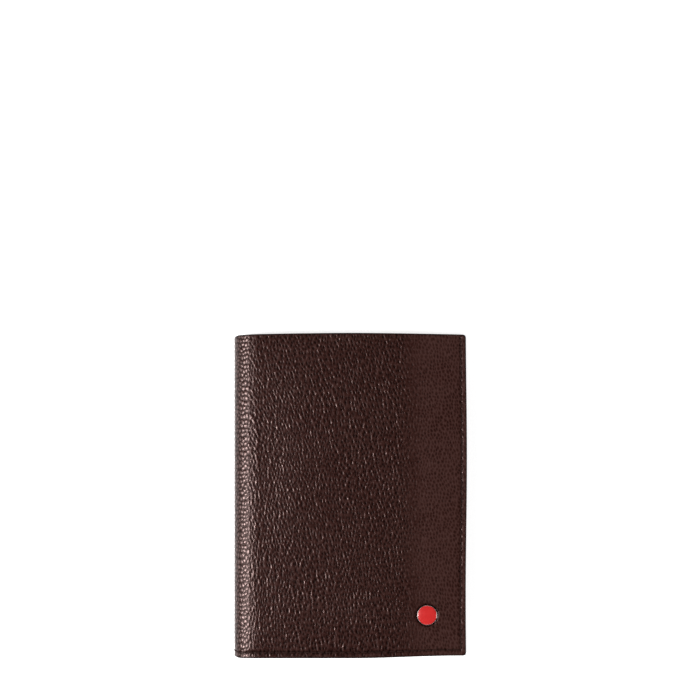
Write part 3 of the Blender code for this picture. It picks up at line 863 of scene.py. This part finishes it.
def row_holes(start, stop):
    """Needle holes at an even pitch between two places."""
    start, stop = np.array(start), np.array(stop)
    count = round(np.linalg.norm(stop - start) / PITCH)
    return start + (stop - start) * np.linspace(0, 1, count + 1)[:, None]


def unit(vectors):
    return vectors / np.linalg.norm(vectors, axis=-1)[..., None]


def stitch_paths(holes, surface, t):
    """Points at each share t of the way of each stitch, and the two directions across it: sideways and up."""
    start, stop = holes[:-1, None], holes[1:, None]
    slant = np.array([1, -1]) * (stop - start)[..., ::-1] * 0.02
    places = start + (stop - start) * (0.06 + 0.88 * t)[:, None] + slant * (2 * t - 1)[:, None]
    points, out = surface(places[..., 0], places[..., 1])
    lift = 0.1 * MM - 0.36 * MM * np.abs(2 * t - 1) ** 5
    points = points + out * lift[:, None]
    along = unit(np.gradient(points, axis=1))
    across = unit(np.cross(along, out))
    return points, across, np.cross(across, along)


def stitches_mesh(name, holes, surface):
    """A stitch between each two holes: two plies of thread twisted together, that dip into the holes.

    surface(s, y) gives the points that the thread lies on and the directions out of them.
    """
    rings, sides = 15, 10
    t = np.linspace(0, 1, rings)
    points, across, up = stitch_paths(holes, surface, t)
    angle = 2 * math.pi * np.arange(sides) / sides
    taper = THREAD / 2 * (1 - 0.25 * np.abs(2 * t - 1) ** 6)
    size = taper[:, None] * (1 + 0.13 * np.cos(2 * (angle[None, :] - 2 * math.pi * 1.25 * t[:, None])))
    ring = across[:, :, None] * (size * np.cos(angle))[..., None]
    ring = ring + up[:, :, None] * (size * np.sin(angle))[..., None]
    count = len(holes) - 1
    first = np.arange(count * rings).reshape(count, rings)[:, :-1, None] * sides
    side = np.arange(sides)
    after = (side + 1) % sides
    here, there = first + side, first + after
    faces = quads(*np.broadcast_arrays(here, there, there + sides, here + sides))
    for k in range(count):
        low = k * rings * sides
        faces.append([low + n for n in range(sides)][::-1])
        faces.append([low + (rings - 1) * sides + n for n in range(sides)])
    mesh = bpy.data.meshes.new(name)
    mesh.from_pydata((points[:, :, None] + ring).reshape(-1, 3).tolist(), [], faces)
    mesh.shade_smooth()
    length = PITCH / MM * (np.arange(count)[:, None, None] + t[:, None])
    round_it = np.broadcast_to(angle * THREAD / 2 / MM, (count, rings, sides))
    add_uv(mesh, np.stack([np.broadcast_to(length, round_it.shape) * 0.3, round_it], -1).reshape(-1, 2))
    return mesh


def outer_surface(cover):
    def surface(s, y):
        base, out = place(cover, s, y)
        return base + out * outer_relief(cover, s, y)[..., None], out

    return surface


POCKETS = {
    "back": ("back_inner_panel", "passport_sleeve"),
    "front": ("front_inner_panel", "card_slot_upper", "card_slot_middle", "card_slot_lower"),
}


def inner_depth(cover, x, y):
    """Depth of a cover's innermost faces under a thread, which eases down the steps at their edges."""
    boxes = [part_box(node) for node in POCKETS[cover]]
    total = np.zeros_like(x)
    near = np.linspace(-THREAD, THREAD, 5)
    for dx in near:
        for dy in near:
            under_head = y + dy < boxes[0][1][1] + THREAD
            depth = np.where(under_head, DIVIDER_AT + DIVIDER, LINING_AT + LINING)
            for low, high in boxes:
                inside = (x + dx > low[0] - THREAD) & (y + dy < high[1] + THREAD)
                depth = np.where(inside, high[2] if cover == "back" else THICK - low[2], depth)
            total += depth / len(near) ** 2
    return total


def inner_surface(cover):
    def surface(s, y):
        x = s - QUARTER * RADIUS + ARC_X
        return place(cover, s, y, inner_depth(cover, x, y), "in")

    return surface


def new_stitches(name, holes, surface, *nodes):
    return new_piece(name, stitches_mesh(name, holes, surface), YARN, "seam_thread", *nodes)


def make_row(node, holes, cover):
    """A row of stitches on a cover's inner faces."""
    piece = new_stitches(node.replace("thread", "stitches"), holes, inner_surface(cover), node)
    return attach(piece, cover + "_cover")


def make_seam(cover):
    """The seam's stitches. The inner ones ride with their cover where they lie on the pockets."""
    holes = seam_holes()
    on_pockets = int(np.sum(holes[:, 0] > s_of(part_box("back_inner_panel")[0][0])))
    nodes = [f"{side}_seam_needle_thread" for side in (cover, "spine")]
    bend(new_stitches(f"{cover}_needle_stitches", holes, outer_surface(cover), *nodes), cover)
    make_row(f"{cover}_seam_bobbin_thread", holes[: on_pockets + 1], cover)
    name, node = f"{cover}_spine_bobbin_stitches", "spine_seam_bobbin_thread"
    bend(new_stitches(name, holes[on_pockets:], inner_surface(cover), node), cover)


def make_panel_row(cover):
    node = f"{cover}_panel_spine_thread"
    low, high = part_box(node)
    s = s_of((low[0] + high[0]) / 2)
    make_row(node, row_holes((s, high[1] - ROW_END), (s, low[1] + ROW_END)), cover)


def make_sleeve_row():
    low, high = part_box("sleeve_top_thread")
    y = (low[1] + high[1]) / 2
    make_row("sleeve_top_thread", row_holes((s_of(high[0]), y), (s_of(low[0]) + ROW_END, y)), "back")


def make_slot_row(label):
    """The stitches at a card slot's foot, which lie on that slot and under the next."""
    node = f"slot_thread_{label}"
    low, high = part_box(node)
    y = (low[1] + high[1]) / 2

    def surface(s, y):
        return place("front", s, y, THICK - low[2], "in")

    holes = row_holes((s_of(low[0]), y), (s_of(high[0]), y))
    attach(new_stitches(node.replace("thread", "stitches"), holes, surface, node), "front_cover")


def make_stitches():
    for cover in COVERS:
        make_seam(cover)
        make_panel_row(cover)
    make_sleeve_row()
    for label in ("upper", "middle"):
        make_slot_row(label)


# ---------------------------------------------------------------- badge


def rounded(corners, radii, steps=4):
    """A profile's corners, each rounded to its radius."""
    points = []
    for k, (corner, radius) in enumerate(zip(corners, radii, strict=True)):
        corner = Vector(corner)
        if not radius:
            points.append(tuple(corner))
            continue
        before, after = Vector(corners[k - 1]), Vector(corners[k + 1])
        start = corner + (before - corner).normalized() * radius
        stop = corner + (after - corner).normalized() * radius
        for n in range(steps + 1):
            t = n / steps
            points.append(tuple(start * (1 - t) ** 2 + corner * 2 * t * (1 - t) + stop * t**2))
    return points


def turned_mesh(name, profile, steps=96):
    """A closed turned mesh on the badge's axis. The profile runs from the axis to the axis, top first."""
    angle = 2 * math.pi * np.arange(steps) / steps
    radius, height = np.array(profile[1:-1]).T
    middle_x, middle_y = (float(v) for v in settled(BADGE_X, BADGE_Y))
    x = middle_x + radius[:, None] * np.cos(angle)
    y = middle_y + radius[:, None] * np.sin(angle)
    z = np.broadcast_to(height[:, None], x.shape)
    verts = np.stack([x, y, z], -1).reshape(-1, 3).tolist()
    after = (np.arange(steps) + 1) % steps
    faces = []
    for k in range(len(radius) - 1):
        low, high = k * steps, (k + 1) * steps
        faces += [[low + n, high + n, high + after[n], low + after[n]] for n in range(steps)]
    top, bottom = len(verts), len(verts) + 1
    verts += [[middle_x, middle_y, profile[0][1]], [middle_x, middle_y, profile[-1][1]]]
    last = (len(radius) - 1) * steps
    faces += [[top, n, int(after[n])] for n in range(steps)]
    faces += [[bottom, last + int(after[n]), last + n] for n in range(steps)]
    mesh = bpy.data.meshes.new(name)
    mesh.from_pydata(verts, [], [[int(n) for n in face] for face in faces])
    mesh.shade_smooth()
    return mesh


def make_badge():
    """The metal cup with a rounded rim on its post, and the domed enamel in it."""
    rim, inner = CUP_HIGH[2], BADGE_RADIUS - BADGE_WALL
    floor, under = THICK + 0.6 * MM, THICK + 0.2 * MM
    corners = [(0, floor), (inner, floor), (inner, rim), (BADGE_RADIUS, rim), (BADGE_RADIUS, under)]
    corners += [(POST_RADIUS, under), (POST_RADIUS, CUP_LOW[2]), (0, CUP_LOW[2])]
    radii = [0, 0.1 * MM, 0.06 * MM, 0.12 * MM, 0.1 * MM, 0, 0.1 * MM, 0]
    mesh = turned_mesh("badge_rim", rounded(corners, radii))
    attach(new_piece("badge_rim", mesh, METAL, "badge_metal", "badge_cup"), "front_cover")
    edge, crown, reach = rim - 0.02 * MM, rim + BADGE_DOME, inner - 0.02 * MM
    corners = [(reach * k / 10, edge + (crown - edge) * (1 - (k / 10) ** 2)) for k in range(11)]
    corners += [(reach, floor + 0.1 * MM), (0, floor + 0.1 * MM)]
    mesh = turned_mesh("badge_dome", corners)
    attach(new_piece("badge_dome", mesh, ENAMEL, "badge_enamel", "badge_enamel"), "front_cover")


def finish_hidden_nodes():
    """Materials for the frame's own pieces that stay."""
    for name, material in (("back_stiffener", BOARD), ("front_stiffener", BOARD), ("badge_washer", METAL)):
        node = bpy.data.objects[name]
        for slot in node.material_slots:
            slot.material = material


# ---------------------------------------------------------------- studio


def add_area(name, spot, size, power):
    """A soft white rectangular light at a spot, turned to face the holder."""
    light = bpy.data.lights.new(name, "AREA")
    light.shape = "RECTANGLE"
    light.size, light.size_y = size
    light.energy = power
    lamp = bpy.data.objects.new(name, light)
    lamp.location = spot
    lamp.rotation_euler = (Vector((0, 0, THICK)) - Vector(spot)).to_track_quat("-Z", "Y").to_euler()
    bpy.context.scene.collection.objects.link(lamp)


def make_floor():
    """A plain pale floor that reaches past the picture's edges."""
    material, _, shader = new_material("Floor")
    shader.inputs["Base Color"].default_value = (0.9, 0.9, 0.9, 1)
    shader.inputs["Roughness"].default_value = 0.9
    shader.inputs["Emission Color"].default_value = (1, 1, 1, 1)
    shader.inputs["Emission Strength"].default_value = 0.8
    mesh = bpy.data.meshes.new("floor")
    reach = 4.0
    corners = [(-reach, -reach, 0), (reach, -reach, 0), (reach, reach, 0), (-reach, reach, 0)]
    mesh.from_pydata(corners, [], [(0, 1, 2, 3)])
    mesh.materials.append(material)
    floor = bpy.data.objects.new("floor", mesh)
    floor.location.z = cad_box[0][2] - FLOOR_DROP
    bpy.context.scene.collection.objects.link(floor)


def make_studio():
    scene = bpy.context.scene
    scene.view_settings.view_transform = "Standard"
    world = bpy.data.worlds.new("Studio")
    world.use_nodes = True
    world.node_tree.nodes["Background"].inputs[0].default_value = (1, 1, 1, 1)
    world.node_tree.nodes["Background"].inputs[1].default_value = 0.03
    scene.world = world
    make_floor()
    add_area("key", (-0.75, -0.12, 0.98), (0.2, 0.9), 15)
    add_area("side", (-1.1, 0.0, 0.16), (0.3, 1.2), 3)
    add_area("fill", (1.1, -0.2, 0.6), (0.5, 1.0), 3.5)
    add_area("front", (0.1, -1.1, 0.6), (1.0, 0.5), 2.5)
    add_area("rear", (0.1, 1.2, 0.55), (1.0, 0.5), 2.5)


def make_camera():
    """Straight down over the holder, which lies low in the picture."""
    camera = bpy.data.cameras.new("camera")
    camera.lens = 180
    camera.sensor_width = 36
    camera.clip_end = 20
    eye = bpy.data.objects.new("camera", camera)
    eye.location = (-0.07 * MM, 62.6 * MM, 1.5185)
    bpy.context.scene.collection.objects.link(eye)
    bpy.context.scene.camera = eye


def main():
    make_camera()
    make_studio()
    make_outer_leather()
    lining_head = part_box("back_lining")[1][1]
    make_cloth("lining", LINING_AT, LINING, EDGE - 0.15 * MM, lining_head)
    reach, divider_head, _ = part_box("back_divider")[1]
    make_cloth("divider", DIVIDER_AT, DIVIDER, reach, divider_head)
    make_pockets()
    make_stitches()
    make_badge()
    finish_hidden_nodes()


main()
